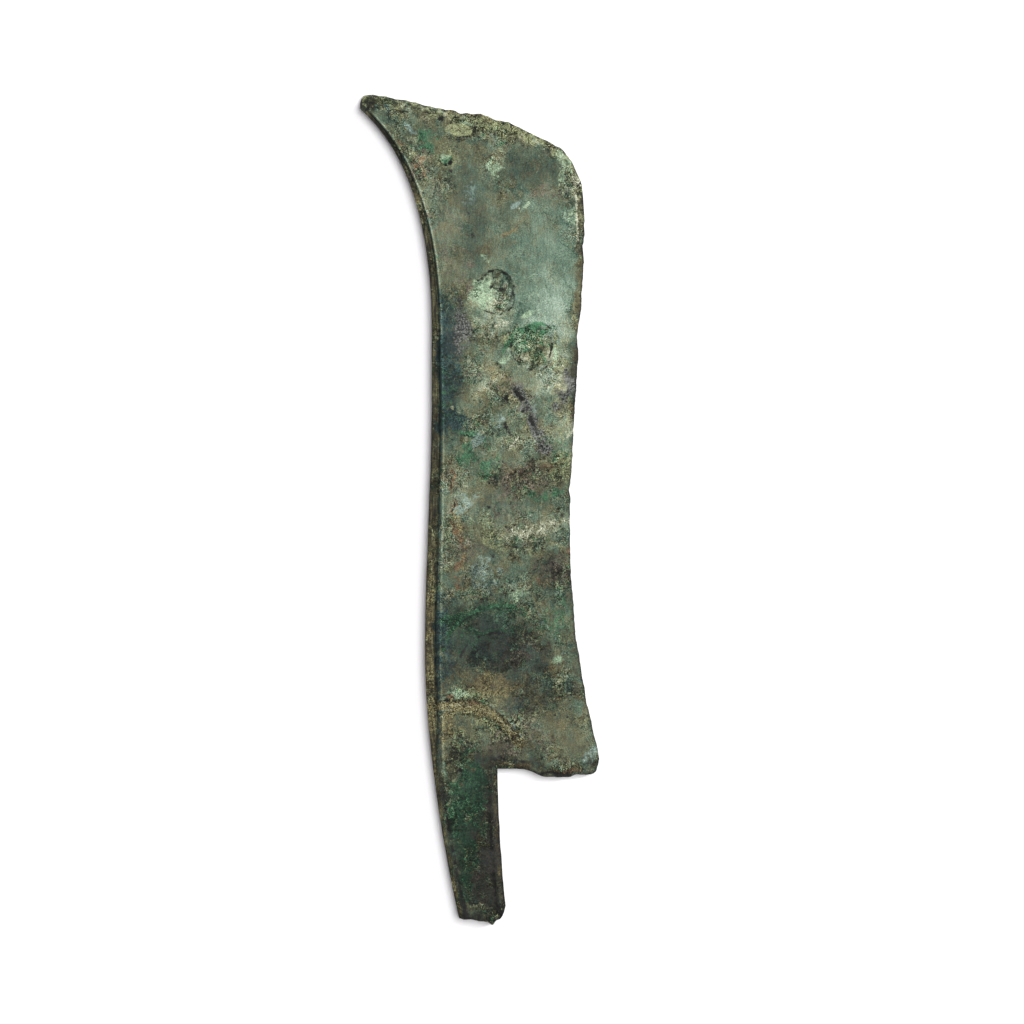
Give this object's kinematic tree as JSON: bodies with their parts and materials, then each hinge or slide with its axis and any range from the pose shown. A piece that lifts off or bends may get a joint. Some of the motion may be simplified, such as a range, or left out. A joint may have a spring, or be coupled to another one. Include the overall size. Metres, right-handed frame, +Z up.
{
  "type": "bronze machete",
  "caption": "Ancient cast bronze machete lying flat: broad single-edged blade with a hooked tip, square heel and short tang, with a corroded, crusted surface.",
  "frame": {"origin": "on the plane that the blade lies on, under the middle of its bounding box", "axes": "+Y from the tang towards the tip, +X from the back towards the cutting edge, +Z up out of the upper side"},
  "size_m": [0.0922, 0.3198, 0.0062],
  "materials": {
    "corroded_bronze": "corroded bronze: mottled dark green, teal, olive and brown patina with pale mint and tan crust, nearly matt"
  },
  "bodies": {
    "root": {"machete": "corroded_bronze"}
  },
  "joints": []
}
